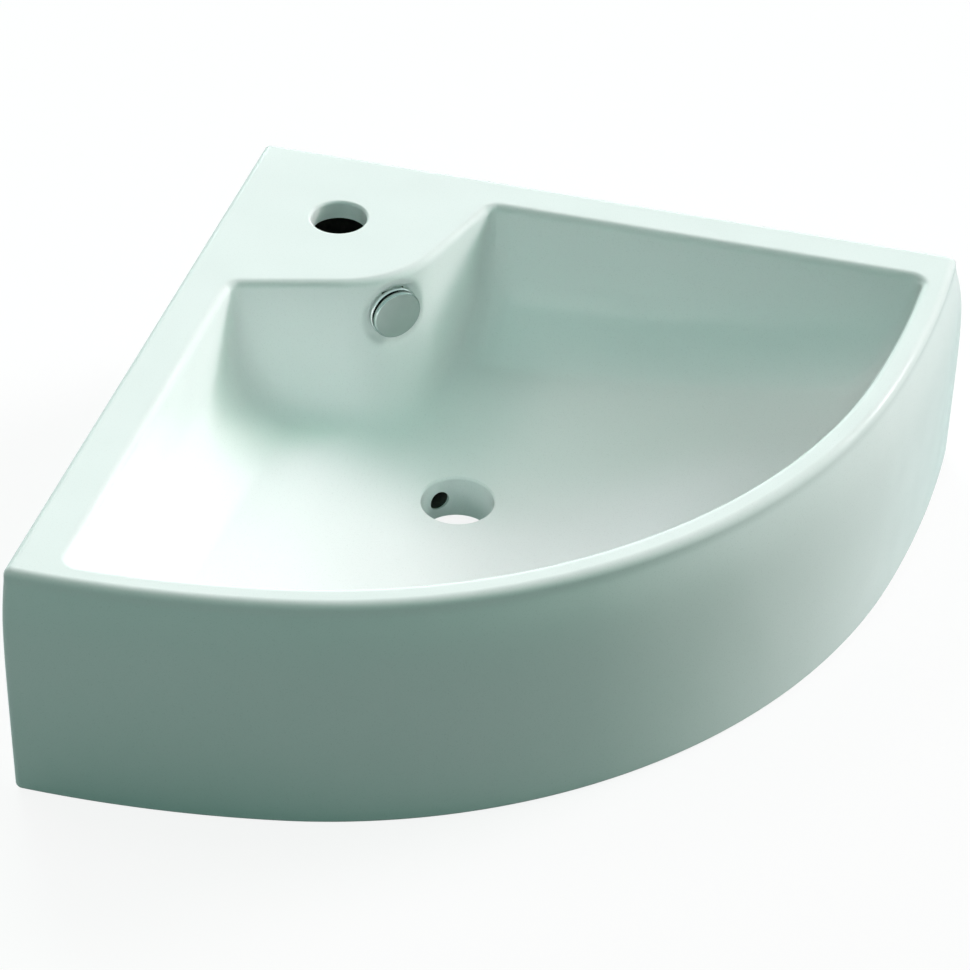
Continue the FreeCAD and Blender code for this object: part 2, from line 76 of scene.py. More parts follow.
def flare(depth):
    """How far the front stands out at a depth: a cubic between each two set points,
    which at each point has the slope that the points on both sides of it give."""
    slope = np.gradient(FLARE_REACH, FLARE_DEPTH)
    after = min(np.searchsorted(FLARE_DEPTH, depth, "right"), len(FLARE_DEPTH) - 1)
    low, high = FLARE_DEPTH[after - 1], FLARE_DEPTH[after]
    share, length = (depth - low) / (high - low), high - low
    bend_share = share ** 2 * (3 - 2 * share)
    bulge = slope[after - 1] * (1 - share) - slope[after] * share
    return (FLARE_REACH[after - 1] * (1 - bend_share) + FLARE_REACH[after] * bend_share
            + length * share * (1 - share) * bulge)


def arc(centre_p, centre_q, radius, start, end):
    """Points at radius from a centre, at angles that run evenly from start to end."""
    angle = start + (end - start) * SHARE
    return np.stack([centre_p + radius * np.cos(angle), centre_q + radius * np.sin(angle)], -1)


def line(start_p, start_q, end_p, end_q):
    """Points that run evenly along a straight line."""
    return np.stack([start_p + (end_p - start_p) * SHARE,
                     start_q + (end_q - start_q) * SHARE], -1)


def front_parts(side, front, corner):
    """The front from its middle to the back wall: an arc about a point of the diagonal,
    a wider arc about a point of the back wall's line, and a round corner that touches
    both that arc and the straight side."""
    reach = END_RADIUS - front
    corner_p = END_CENTRE + np.sqrt((reach - corner) ** 2 - (side + corner) ** 2)
    turn = np.arctan2(side + corner, corner_p - END_CENTRE)
    return [arc(MIDDLE_CENTRE, MIDDLE_CENTRE, reach - ARC_SHIFT, np.pi / 4, END_ARC),
            arc(END_CENTRE, 0 * side, reach, END_ARC, turn),
            arc(corner_p, side + corner, corner, turn, -np.pi / 2)], corner_p


def choose(parts):
    """Takes each column of the half outline from the part that it belongs to."""
    return np.choose(PART[:, None], [np.broadcast_to(part, (len(PART), 2)) for part in parts])


def bowl_outline(inset, corner, nook):
    """Half of the bowl seen from above, from the middle of the front to the ledge's
    nose, moved into the bowl by inset. After the front come the straight back wall, a
    round nook, the ledge's straight side turned out by FLANK, and its round nose."""
    side, front = RIM_SIDE + inset, RIM_FRONT + inset
    parts, corner_p = front_parts(side, front, corner)
    point = (LEDGE_POINT + inset / np.sin(np.pi / 4 + FLANK)) / np.sqrt(2)
    nook_p = point + (point - side) * np.tan(FLANK) + nook / np.tan((np.pi / 2 + FLANK) / 2)
    nose = (LEDGE_POINT - NOSE_RADIUS / np.sin(np.pi / 4 + FLANK)) / np.sqrt(2)
    radius = NOSE_RADIUS + inset
    parts += [line(corner_p, side, nook_p, side),
              arc(nook_p, side + nook, nook, -np.pi / 2, FLANK - np.pi),
              line(nook_p - nook * np.cos(FLANK), side + nook - nook * np.sin(FLANK),
                   nose + radius * np.cos(FLANK), nose + radius * np.sin(FLANK)),
              arc(nose, nose, radius, FLANK, np.pi / 4)]
    return choose(parts)


def casting_outline(side, front, corner, room_corner):
    """Half of the whole casting seen from above, with the same columns as the bowl:
    those of the nook and the ledge are spread along the wall to the room corner, and
    the last fifth of the nose's goes round it, from the wall's line to the diagonal."""
    parts, corner_p = front_parts(side, front, corner)
    ledge = LEDGE_POINT / np.sqrt(2) * (1 + np.tan(FLANK))
    stops = [corner_p, ledge, 0.86 * ledge, 0.3 * ledge, side + room_corner]
    parts += [line(start, side, end, side) for start, end in zip(stops, stops[1:])]
    half = choose(parts)
    straight = 0.8
    late = (PART == 6) & (SHARE > straight)
    turn = -np.pi / 2 - np.pi / 4 * (SHARE[late] - straight) / (1 - straight)
    half[late] = side + room_corner * (1 + np.stack([np.cos(turn), np.sin(turn)], -1))
    return half


def whole(half, level):
    """Closes a half outline with its mirror image across the diagonal, at a level."""
    level = np.broadcast_to(level, len(half))
    ring = np.column_stack([half, level])
    mirrored = ring[-2:0:-1][:, [1, 0, 2]]
    return np.concatenate([ring, mirrored])


def meeting(first, second, radius):
    """Two surfaces, given as distances from them, meet in a hollow of that radius: the
    distance from the pair is the radius less the length of both shortfalls together."""
    return radius - np.hypot(np.maximum(radius - first, 0), np.maximum(radius - second, 0))


def space(p, q, z):
    """How far a point of the near half is inside the bowl. The back wall and the bowed
    front lean in and meet in an upright corner that opens with depth; both run into the
    floor's cone in a wide hollow; the ledge stands in all of these with a narrower one."""
    depth = -z
    share = np.clip(depth / OPEN_DEPTH, 0, 1)
    inset = LEAN * depth
    side = q - RIM_SIDE - inset
    reach = END_RADIUS - RIM_FRONT - inset
    middle = reach - ARC_SHIFT - np.hypot(p - MIDDLE_CENTRE, q - MIDDLE_CENTRE)
    end = reach - np.hypot(p - END_CENTRE, q)
    front = np.where(np.arctan2(q - MIDDLE_CENTRE, p - MIDDLE_CENTRE) > END_ARC, middle, end)
    walls = meeting(side, front, CORNER_TOP + (CORNER_LOW - CORNER_TOP) * share)
    away = np.hypot(p - DRAIN_PLACE / np.sqrt(2), q - DRAIN_PLACE / np.sqrt(2))
    height = z + DRAIN_DEPTH - (away - DRAIN_RADIUS) * np.tan(FLOOR_SLOPE)
    above = height * np.cos(FLOOR_SLOPE)
    dish = meeting(walls, above, FOOT_RADIUS)
    point = (LEDGE_POINT + inset / np.sin(np.pi / 4 + FLANK)) / np.sqrt(2)
    nose = (LEDGE_POINT - NOSE_RADIUS / np.sin(np.pi / 4 + FLANK)) / np.sqrt(2)
    flank = (p - point) * np.cos(FLANK) + (q - point) * np.sin(FLANK)
    tip = np.hypot(p - nose, q - nose) - NOSE_RADIUS - inset
    ledge = np.where(np.arctan2(q - nose, p - nose) > FLANK, tip, flank)
    return meeting(dish, ledge, NOOK_TOP + (NOOK_LOW - NOOK_TOP) * share)


def surface_along(start, way):
    """Where rays from points in the bowl first leave it: the last of a row of even
    steps that is still inside, and then halving between it and the next."""
    longest, count, halvings = 420.0, 40, 26
    steps = np.linspace(0, 1, count + 1)[:, None, None] * np.full(start.shape[:-1], longest)
    spots = start + steps[..., None] * way
    inside = np.cumprod(space(*np.moveaxis(spots, -1, 0)) > 0, 0).sum(0) - 1
    low = inside * longest / count
    high = low + longest / count
    for _ in range(halvings):
        middle = (low + high) / 2
        spot = start + middle[..., None] * way
        within = space(*np.moveaxis(spot, -1, 0)) > 0
        low, high = np.where(within, middle, low), np.where(within, high, middle)
    return start + low[..., None] * way


def bowl_curves(rows=180, eye_depth=12.0):
    """Curves down the bowl from the lip to the waste hole's edge, one for each column:
    rays fan out from a point above the waste hole, from level to steeply down."""
    middle = DRAIN_PLACE / np.sqrt(2)
    rim = bowl_outline(LEAN * LIP, CORNER_TOP, NOOK_TOP) - middle
    way = np.column_stack([rim / np.hypot(*rim.T)[:, None], np.zeros(len(rim))])[None]
    level = np.array([middle, middle, -LIP])
    top = surface_along(np.broadcast_to(level, way.shape), way)[0]
    eye = np.array([middle, middle, -eye_depth])
    last = DRAIN_RADIUS + HOLE_EDGE * (1 - np.sin(FLOOR_SLOPE))
    rise = np.arctan2(-LIP - eye[2], np.hypot(*(top[:, :2] - middle).T))
    bottom = -DRAIN_DEPTH + (last - DRAIN_RADIUS) * np.tan(FLOOR_SLOPE)
    fall = np.arctan2(bottom - eye[2], last)
    share = np.linspace(0, 1, rows)[:, None]
    angle = rise + (fall - rise) * share
    way = way * np.cos(angle)[..., None] + np.array([0, 0, 1.0]) * np.sin(angle)[..., None]
    return surface_along(np.broadcast_to(eye, way.shape), way)


def evenly(curves, top_depth, last_reach, rows):
    """Points at even distances along each curve, from a depth to a distance from the
    waste hole's middle."""
    length = np.concatenate([np.zeros((1, curves.shape[1])),
                             np.cumsum(np.linalg.norm(np.diff(curves, axis=0), axis=2), 0)])

    def where(values, target):
        """The length along each curve at which a falling value passes its target."""
        after = np.clip((values > target).sum(0), 1, len(values) - 1)[None]
        high, low = (np.take_along_axis(values, after - step, 0)[0] for step in (1, 0))
        first, second = (np.take_along_axis(length, after - step, 0)[0] for step in (1, 0))
        share = np.clip((high - target) / (high - low + 1e-12), 0, 1)
        return first + (second - first) * share

    start = where(curves[..., 2], -top_depth)
    middle = DRAIN_PLACE / np.sqrt(2)
    end = where(np.hypot(curves[..., 0] - middle, curves[..., 1] - middle), last_reach)
    target = start + (end - start) * np.linspace(0, 1, rows)[:, None]
    after = np.clip((length[None] <= target[:, None]).sum(1), 1, len(length) - 1)
    first, second = (np.take_along_axis(length, after - step, 0) for step in (1, 0))
    share = ((target - first) / (second - first + 1e-12))[..., None]
    spots = [np.take_along_axis(curves, np.repeat((after - step)[..., None], 3, 2), 0)
             for step in (1, 0)]
    return spots[0] + (spots[1] - spots[0]) * share


def inward(spots):
    """The direction into the bowl at points of its surface, from differences of space."""
    step = 0.05
    normal = np.stack([space(*np.moveaxis(spots + shift, -1, 0))
                       - space(*np.moveaxis(spots - shift, -1, 0))
                       for shift in np.eye(3) * step], -1)
    return normal / np.linalg.norm(normal, axis=-1)[..., None]


def whole_grid(half):
    """Closes each row of a half grid with its mirror image across the diagonal."""
    return np.concatenate([half, half[:, -2:0:-1][..., [1, 0, 2]]], 1)


def roof_depth(curves):
    """The hollow between bowl and skirt ends where the two are a gap apart: for each
    column, the least depth at which the bowl's back is clear of the skirt's back,
    evened out over a few columns."""
    gap_least, lowest, over = 0.8, 70.0, 7
    back = curves - WALL * inward(curves)
    front = WALL - np.interp(-back[..., 2], HOLLOW_DEPTH, HOLLOW_REACH)
    middle = END_RADIUS - ARC_SHIFT - front - np.hypot(back[..., 0] - MIDDLE_CENTRE,
                                                       back[..., 1] - MIDDLE_CENTRE)
    end = END_RADIUS - front - np.hypot(back[..., 0] - END_CENTRE, back[..., 1])
    gap = np.minimum(back[..., 1] - WALL, np.where(PART == 0, middle, end))
    blocked = (gap < gap_least) & (PART < 4) & (curves[..., 2] > -lowest)
    roof = np.maximum(np.where(blocked, -curves[..., 2], 0).max(0), DECK)
    padded = np.pad(roof, over // 2, mode="edge")
    return np.maximum(roof, np.convolve(padded, np.ones(over) / over, "valid"))


def circle_like(ring, radius, level):
    """A circle round the waste hole with its points in the directions of a ring's."""
    middle = DRAIN_PLACE / np.sqrt(2)
    away = ring[:, :2] - middle
    away *= (radius / np.hypot(*away.T))[:, None]
    return np.column_stack([middle + away, np.full(len(ring), level)])


def casting_rings():
    """The casting's section as a closed loop of rings: lip, bowl, waste hole, boss, the
    bowl's back, the hollow's roof, the skirt's back, foot, skirt, rim and deck."""
    curves = bowl_curves()
    bowl = evenly(curves, LIP, 0.0, 74)
    outward = -inward(bowl[0])
    outward[:, 2] = 0
    outward /= np.hypot(*outward[:, :2].T)[:, None]
    rows = []
    for angle in np.linspace(0, np.pi / 2, 8, endpoint=False):
        ring = bowl[0] + outward * LIP * (1 - np.sin(angle))
        ring[:, 2] = -LIP * (1 - np.cos(angle))
        rows.append(whole(ring[:, :2], ring[:, 2]))
    rows += list(whole_grid(bowl))
    edge_level = rows[-1][0, 2] - HOLE_EDGE * np.cos(FLOOR_SLOPE)
    for angle in np.linspace(np.pi / 2 + FLOOR_SLOPE, np.pi, 6)[1:]:
        rows.append(circle_like(rows[-1], DRAIN_RADIUS + HOLE_EDGE * (1 + np.cos(angle)),
                                edge_level + HOLE_EDGE * np.sin(angle)))
    foot = -DEPTH + BOSS_LIFT
    for radius, level in ((DRAIN_RADIUS, -130), (DRAIN_RADIUS, -141),
                          (DRAIN_RADIUS, foot + 0.6), (DRAIN_RADIUS + 0.6, foot),
                          (BOSS_RADIUS - 1.5, foot), (BOSS_RADIUS, foot + 1.5),
                          (BOSS_RADIUS, -138), (BOSS_RADIUS, -130.6)):
        rows.append(circle_like(rows[-1], radius, level))
    roof = roof_depth(curves)
    back = evenly(curves, roof, BOSS_RADIUS - WALL * np.sin(FLOOR_SLOPE), 34)
    rows += list(whole_grid(back - WALL * inward(back))[::-1])
    inside = []
    for share in np.linspace(0, 1, 9) ** 1.6:
        depth = roof + (DEPTH - roof) * share
        front = WALL - np.interp(depth, HOLLOW_DEPTH, HOLLOW_REACH)
        inside.append(whole(casting_outline(WALL, front, 3.0, 2.0), -depth))
    rows.append(rows[-1] + (inside[0] - rows[-1]) * 0.5)
    rows += inside
    for angle in np.linspace(0, np.pi / 2, 6):
        depth = DEPTH - FOOT_EDGE * (1 - np.sin(np.pi / 2 - angle))
        inset = FOOT_EDGE * (1 - np.sin(angle))
        front = inset - flare(depth)
        outline = casting_outline(inset, front, SKIRT_CORNER - inset / 2, ROOM_CORNER)
        rows.append(whole(outline, -depth))
    for depth in (130, 105, 82, 62, 48, 38, 31, 26, 22, 19,
                  16.5, 14.5, 12.8, 11.2, 9.8, 8.6, 7.6, 6.7, 5.9):
        rows.append(whole(casting_outline(0.0, -flare(depth), SKIRT_CORNER, ROOM_CORNER), -depth))
    for angle in np.linspace(0, np.pi / 2, 9):
        depth = RIM_EDGE * (1 - np.sin(angle))
        inset = RIM_EDGE * (1 - np.cos(angle))
        outline = casting_outline(inset, inset, SKIRT_CORNER - inset / 2, ROOM_CORNER)
        rows.append(whole(outline, -depth))
    rim, lip = rows[-1], rows[0]
    for share in (0.05, 0.5, 0.95):
        rows.append(rim + (lip - rim) * share)
    return np.array(rows)


def seat_under_cover(rings):
    """Presses the ledge's nose flat where the overflow cover sits: points of the nose
    within the cover's reach move along the diagonal to the seat, fading out in an even
    ease."""
    nose_start, nose_end = 168, 190
    place = (rings[..., 0] + rings[..., 1]) / np.sqrt(2)
    across = (rings[..., 0] - rings[..., 1]) / np.sqrt(2)
    away = np.hypot(across, rings[..., 2] - COVER_LEVEL)
    share = np.clip((SEAT_FADE - away) / (SEAT_FADE - SEAT_RADIUS), 0, 1)
    share = share * share * (3 - 2 * share) * ((place > nose_start) & (place < nose_end))
    shift = share * (SEAT_PLACE - place) / np.sqrt(2)
    rings[..., 0] += shift
    rings[..., 1] += shift
    return rings


def mesh_of(name, rings, loop=False):
    """A mesh from rings of points in millimetres: four-sided faces join neighbouring
    rings, and the last ring joins the first where the section is a closed loop,
    or else both ends get one flat face."""
    rows, columns = rings.shape[:2]
    p, q, z = np.moveaxis(rings, -1, 0).reshape(3, -1)
    spots = np.column_stack([p, -q, z]) / 1000
    index = np.arange(rows * columns).reshape(rows, columns)
    after = np.roll(index, -1, 1)
    faces = np.stack([index, after, np.roll(after, -1, 0), np.roll(index, -1, 0)], -1)
    faces = (faces if loop else faces[:-1]).reshape(-1, 4).tolist()
    if not loop:
        faces += [index[0, ::-1].tolist(), index[-1].tolist()]
    mesh = bpy.data.meshes.new(name)
    mesh.from_pydata(spots, [], faces)
    body = bmesh.new()
    body.from_mesh(mesh)
    bmesh.ops.recalc_face_normals(body, faces=body.faces)
    body.to_mesh(mesh)
    body.free()
    mesh.shade_smooth()
    mesh.set_sharp_from_angle(angle=SHARP)
    return mesh


SHARP = np.radians(38)
casting_mesh = mesh_of("ceramic_basin", seat_under_cover(casting_rings()), loop=True)
casting = bpy.data.objects.new("ceramic_basin", casting_mesh)
bpy.context.collection.objects.link(casting)


def rod(place, across, level, direction, stations, sides=64):
    """A turned tool: at each station (distance, radius) along a direction from a point
    of the diagonal frame it has a circle."""
    root = np.sqrt(0.5)
    frames = {"out": ((root, root, 0), (root, -root, 0), (0, 0, 1)),
              "up": ((0, 0, 1), (1, 0, 0), (0, 1, 0)),
              "p": ((1, 0, 0), (0, 1, 0), (0, 0, 1)),
              "q": ((0, 1, 0), (0, 0, 1), (1, 0, 0))}
    axis, first, second = (np.array(way, float) for way in frames[direction])
    angle = np.linspace(0, 2 * np.pi, sides, endpoint=False)[:, None]
    start = np.array([(place + across) * root, (place - across) * root, level])
    spoke = np.cos(angle) * first + np.sin(angle) * second
    return np.array([start + distance * axis + radius * spoke for distance, radius in stations])


def slab(back, front, half_width, low, high, corner, sides=10):
    """A block with round upright edges, from back to front along the diagonal."""
    angle = np.linspace(0, np.pi / 2, sides)
    quarter = [(front - corner, half_width - corner, 0), (back + corner, half_width - corner, 1),
               (back + corner, corner - half_width, 2), (front - corner, corner - half_width, 3)]
    outline = np.concatenate([
        np.column_stack([place + corner * np.cos(angle + turn * np.pi / 2),
                         across + corner * np.sin(angle + turn * np.pi / 2)])
        for place, across, turn in quarter])
    place, across = outline.T
    flat = np.column_stack([place + across, place - across]) / np.sqrt(2)
    return np.array([np.column_stack([flat, np.full(len(flat), level)])
                     for level in (low, high)])


def worked(target, kind, rings):
    """Joins a tool to the casting or cuts it out, and keeps the finished mesh."""
    tool = bpy.data.objects.new("tool", mesh_of("tool", rings))
    bpy.context.collection.objects.link(tool)
    step = target.modifiers.new(kind, "BOOLEAN")
    step.operation = kind
    step.solver = "EXACT"
    step.object = tool
    bpy.context.view_layer.update()
    evaluated = target.evaluated_get(bpy.context.evaluated_depsgraph_get())
    finished = bpy.data.meshes.new_from_object(evaluated)
    target.modifiers.clear()
    target.data = finished
    bpy.data.objects.remove(tool)


# the overflow's chamber behind the ledge's nose, and the duct from it to the waste hole
worked(casting, "UNION", slab(140.0, 166.0, 23.0, -148.0, -9.0, 8.0))
worked(casting, "UNION", rod(CHAMBER_PLACE, 0, DUCT_LEVEL, "out", [(0, 13.5), (72, 13.5)]))
worked(casting, "DIFFERENCE", slab(147.0, 163.0, 16.0, -141.0, -12.0, 4.0))
for level, radius, length in ((DUCT_LEVEL, DUCT_RADIUS, 99), (COVER_LEVEL, COVER_RADIUS, 30)):
    worked(casting, "DIFFERENCE",
           rod(CHAMBER_PLACE, 0, level, "out", [(0, radius), (length, radius)]))
# the tap hole with its rounded edge, and a fixing hole in each of the two backs
rolled = [(-HOLE_EDGE * (1 - np.sin(turn)), TAP_RADIUS + HOLE_EDGE * (1 - np.cos(turn)))
          for turn in np.linspace(0, np.pi / 2, 8)]
worked(casting, "DIFFERENCE",
       rod(TAP_PLACE, 0, 0, "up",
           [(-30, TAP_RADIUS)] + rolled + [(0.5, TAP_RADIUS + HOLE_EDGE)], 96))
for side, way in ((1, "q"), (-1, "p")):
    worked(casting, "DIFFERENCE",
           rod(FIXING_PLACE / np.sqrt(2), side * FIXING_PLACE / np.sqrt(2), FIXING_LEVEL, way,
               [(-5, FIXING_RADIUS), (20, FIXING_RADIUS)]))
casting.data.set_sharp_from_angle(angle=SHARP)
casting.modifiers.new("large faces stay flat", "WEIGHTED_NORMAL").keep_sharp = True
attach(casting, "basin")
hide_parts("basin_body")


def new_material(name, rough, metallic=0.0):
    """A material with its nodes, its links and its shader."""
    material = bpy.data.materials.new(name)
    material.use_nodes = True
    nodes, links = material.node_tree.nodes, material.node_tree.links
    shader = nodes["Principled BSDF"]
    shader.inputs["Roughness"].default_value = rough
    shader.inputs["Metallic"].default_value = metallic
    return material, nodes, links, shader


def speckle(nodes, links, scale, detail, low, high):
    """A cloudy value between low and high, fixed to the piece."""
    place = nodes.new("ShaderNodeTexCoord")
    noise = nodes.new("ShaderNodeTexNoise")
    noise.inputs["Scale"].default_value = scale
    noise.inputs["Detail"].default_value = detail
    spread = nodes.new("ShaderNodeMapRange")
    spread.inputs["From Min"].default_value = 0.3
    spread.inputs["From Max"].default_value = 0.7
    spread.inputs["To Min"].default_value = low
    spread.inputs["To Max"].default_value = high
    links.new(place.outputs["Object"], noise.inputs["Vector"])
    links.new(noise.outputs["Fac"], spread.inputs["Value"])
    return spread.outputs["Result"]


def calc(nodes, links, kind, operation, *values):
    """A number (kind "Math") or a vector (kind "VectorMath") worked out from others:
    each value is a constant or another node's output."""
    node = nodes.new("ShaderNode" + kind)
    node.operation = operation
    for socket, value in zip(node.inputs, values):
        if isinstance(value, bpy.types.NodeSocket):
            links.new(value, socket)
        else:
            socket.default_value = value
    number = kind == "Math" or operation in ("DISTANCE", "DOT_PRODUCT", "LENGTH")
    return node.outputs["Value" if number else "Vector"]


def blend(nodes, links, factor, first, second):
    """A colour between two, each a colour or another node's output."""
    mix = nodes.new("ShaderNodeMix")
    mix.data_type = "RGBA"
    links.new(factor, mix.inputs["Factor"])
    for side, colour in (("A", first), ("B", second)):
        socket = next(item for item in mix.inputs if item.name == side and item.type == "RGBA")
        if isinstance(colour, tuple):
            socket.default_value = (*colour, 1)
        else:
            links.new(colour, socket)
    return next(item for item in mix.outputs if item.type == "RGBA")


def relief(nodes, links, shader, *layers):
    """Bumps one over another: each layer is a height and how deep it is in metres."""
    normal = None
    for height, depth in layers:
        bump = nodes.new("ShaderNodeBump")
        bump.inputs["Distance"].default_value = depth
        links.new(height, bump.inputs["Height"])
        if normal:
            links.new(normal, bump.inputs["Normal"])
        normal = bump.outputs["Normal"]
    links.new(normal, shader.inputs["Normal"])


# The glaze is clear over a white body: a cool white with faint clouds and specks, a
# little uneven where it ran, and wiped off the foot, where the fired clay shows. The
# hollow under the tap hole and the overflow's duct are painted nearly black as painted shade, with
# no mirror reflection.
glaze, nodes, links, shader = new_material("white glaze", 0.12)
clouds = speckle(nodes, links, 11, 3, 0, 1)
specks = speckle(nodes, links, 1400, 1, -3.2, 1.0)
white = blend(nodes, links, clouds, (0.852, 0.884, 0.872), (0.868, 0.892, 0.884))
white = blend(nodes, links, specks, white, (0.80, 0.83, 0.815))
fired = blend(nodes, links, speckle(nodes, links, 260, 4, 0, 1),
              (0.70, 0.66, 0.58), (0.80, 0.77, 0.70))
# painted shade: near black, for the hollow under the tap hole and the overflow's duct
painted_shade_black = blend(nodes, links, speckle(nodes, links, 300, 4, 0, 1),
             (0.06, 0.056, 0.05), (0.11, 0.10, 0.09))
place = nodes.new("ShaderNodeTexCoord").outputs["Object"]
level = nodes.new("ShaderNodeSeparateXYZ")
links.new(place, level.inputs["Vector"])
# the glaze's edge wanders by a fifth of a millimetre above the foot
edge = calc(nodes, links, "Math", "MULTIPLY_ADD", speckle(nodes, links, 90, 3, -1, 1), 0.0002,
            level.outputs["Z"])
foot = nodes.new("ShaderNodeMapRange")
foot.inputs["From Min"].default_value = -0.1480
foot.inputs["From Max"].default_value = -0.1484
links.new(edge, foot.inputs["Value"])
foot = foot.outputs["Result"]
# the hollow under the deck, painted black as painted shade, is what is near the tap hole's axis and
# below the deck
beside = calc(nodes, links, "VectorMath", "DISTANCE",
              calc(nodes, links, "VectorMath", "MULTIPLY", place, (1, 1, 0)), (0.071, -0.071, 0))
chamber = calc(nodes, links, "Math", "MULTIPLY",
               calc(nodes, links, "Math", "LESS_THAN", beside, 0.0705),
               calc(nodes, links, "Math", "LESS_THAN", level.outputs["Z"], -0.0121))
# the duct, painted black as painted shade, is what is near its axis and near the middle of its
# length
out_of = calc(nodes, links, "VectorMath", "SUBTRACT", place, (0.1365, -0.1365, -0.1345))
off_axis = calc(nodes, links, "VectorMath", "CROSS_PRODUCT", out_of, (0.70711, -0.70711, 0))
near = [calc(nodes, links, "Math", "LESS_THAN",
             calc(nodes, links, "VectorMath", "LENGTH", vector), reach)
        for vector, reach in ((off_axis, 0.0068), (out_of, 0.0385))]
duct = calc(nodes, links, "Math", "MULTIPLY", *near)
# painted shade: where the hollow or the duct is, the colour goes near black and mirror reflection
# goes off
painted_shade_mask = calc(nodes, links, "Math", "MAXIMUM", chamber, duct)
matt = calc(nodes, links, "Math", "MULTIPLY_ADD", painted_shade_mask, -0.5, 0.5)
links.new(matt, shader.inputs["Specular IOR Level"])
skin = blend(nodes, links, foot, white, fired)
links.new(blend(nodes, links, painted_shade_mask, skin, painted_shade_black), shader.inputs["Base Color"])
wiped = calc(nodes, links, "Math", "MULTIPLY", foot, 0.8)
links.new(calc(nodes, links, "Math", "MAXIMUM", speckle(nodes, links, 30, 2, 0.08, 0.15), wiped),
          shader.inputs["Roughness"])
relief(nodes, links, shader, (speckle(nodes, links, 16, 1, 0, 1), 0.0004),
       (speckle(nodes, links, 500, 2, 0, 1), 0.000006))
casting.data.materials.clear()
casting.data.materials.append(glaze)


def turned(name, profile, body, node, material, loop=True):
    """A round piece of the overflow cover: its profile, points (distance out of the
    flat that the cover seats on, radius), turned about the axis of the hole."""
    rings = rod(SEAT_PLACE, 0, COVER_LEVEL, "out", profile, 96)
    piece = bpy.data.objects.new(name, mesh_of(name, rings, loop))
    bpy.context.collection.objects.link(piece)
    piece.data.materials.append(material)
    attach(piece, body)
    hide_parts(node)


def bend(distance, radius, size, start, end, count=9):
    """Points of a rounded edge about a middle, from one angle in degrees to another."""
    angle = np.radians(np.linspace(start, end, count))
    return list(zip(distance + size * np.cos(angle), radius + size * np.sin(angle)))


# ---------------------------------------------------------------- rubber gasket and ring
# Two black moulded seals: a flat washer between the bezel and the ceramic, and a ring
# in the groove of the cap's stem, whose grip in the sleeve's hub holds the cap.
rubber, nodes, links, shader = new_material("black rubber", 0.7)
links.new(blend(nodes, links, speckle(nodes, links, 700, 4, 0, 1),
                (0.018, 0.019, 0.019), (0.045, 0.046, 0.045)), shader.inputs["Base Color"])
relief(nodes, links, shader, (speckle(nodes, links, 2500, 3, 0, 1), 0.00002))
turned("rubber_gasket",
       bend(0.2, 12.7, 0.2, 180, 270, 4) + bend(0.8, 12.7, 0.2, -90, 0, 4) +
       bend(0.8, 15.1, 0.2, 0, 90, 4) + bend(0.2, 15.1, 0.2, 90, 180, 4),
       "basin", "overflow_gasket", rubber)
turned("rubber_stem_ring", bend(-6.53, 2.53, 0.495, 0, 360, 21)[:-1],
       "cap", "cap_ring", rubber)

# ---------------------------------------------------------------- plastic sleeve
# A dark moulded sleeve that snaps into the ceramic behind the bezel: six hooked
# fingers, three spokes and a hub. It is kept as it was constructed.
plastic, nodes, links, shader = new_material("dark plastic", 0.5)
links.new(blend(nodes, links, speckle(nodes, links, 120, 4, 0, 1),
                (0.028, 0.031, 0.031), (0.045, 0.049, 0.048)), shader.inputs["Base Color"])
links.new(speckle(nodes, links, 400, 2, 0.42, 0.58), shader.inputs["Roughness"])
relief(nodes, links, shader, (speckle(nodes, links, 1800, 2, 0, 1), 0.00001))
sleeve = bpy.data.objects["overflow_sleeve"]
sleeve.data.materials.clear()
sleeve.data.materials.append(plastic)

# ---------------------------------------------------------------- chromed bezel
# A brass ring, polished and chromed, with a collar that is glued into the sleeve. Its
# front edges are rolled over, so each shows a bright line.
# painted highlight: this chrome is a lighter copy of the cap's, lightened as painted highlight
chrome, nodes, links, shader = new_material("chrome", 0.1, 1.0)
links.new(blend(nodes, links, speckle(nodes, links, 45, 3, 0, 1),
                (0.66, 0.70, 0.69), (0.74, 0.78, 0.77)), shader.inputs["Base Color"])
links.new(speckle(nodes, links, 150, 4, 0.06, 0.16), shader.inputs["Roughness"])
relief(nodes, links, shader, (speckle(nodes, links, 900, 3, 0, 1), 0.000004))
turned("chrome_bezel",
       [(-3.0, 10.72), (-3.0, 9.72)] + bend(2.2, 10.32, 0.6, -90, 0, 6) +
       bend(1.7, 15.4, 1.1, 0, 90) + [(1.0, 16.5), (1.0, 10.72)],
       "basin", "overflow_bezel", chrome)

# ---------------------------------------------------------------- chromed cap
# A turned disc on a stem, pushed in by hand. The disc is slightly domed and its edge is
# rolled; behind it come the shoulder, the stem and the groove for the rubber ring.
# painted shade: the cap's chrome is a darker copy of the bezel's, darkened as painted shade
shaded_chrome, nodes, links, shader = new_material("chrome of the cap with painted shade", 0.14, 1.0)
links.new(blend(nodes, links, speckle(nodes, links, 60, 3, 0, 1),
                (0.43, 0.50, 0.475), (0.47, 0.54, 0.52)), shader.inputs["Base Color"])
links.new(speckle(nodes, links, 150, 4, 0.10, 0.20), shader.inputs["Roughness"])
relief(nodes, links, shader, (speckle(nodes, links, 900, 3, 0, 1), 0.000005))
radius = np.linspace(0.05, 14.6, 16)
dome = list(zip(7.8 - 0.6 * (radius / 14.6) ** 2, radius))
stem = [(-3.03, 4.0), (-3.03, 3.0), (-6.03, 3.0), (-6.03, 2.03), (-7.03, 2.03), (-7.03, 3.0),
        (-9.7, 3.0), (-10.03, 2.7), (-10.03, 0.05)]
turned("chrome_cap",
       dome + bend(5.8, 14.6, 1.4, 5, 90, 10) + bend(5.2, 15.4, 0.6, 90, 180, 6) +
       bend(4.0, 4.6, 0.6, 0, -90, 6) + stem,
       "cap", "overflow_cap", shaded_chrome, loop=False)

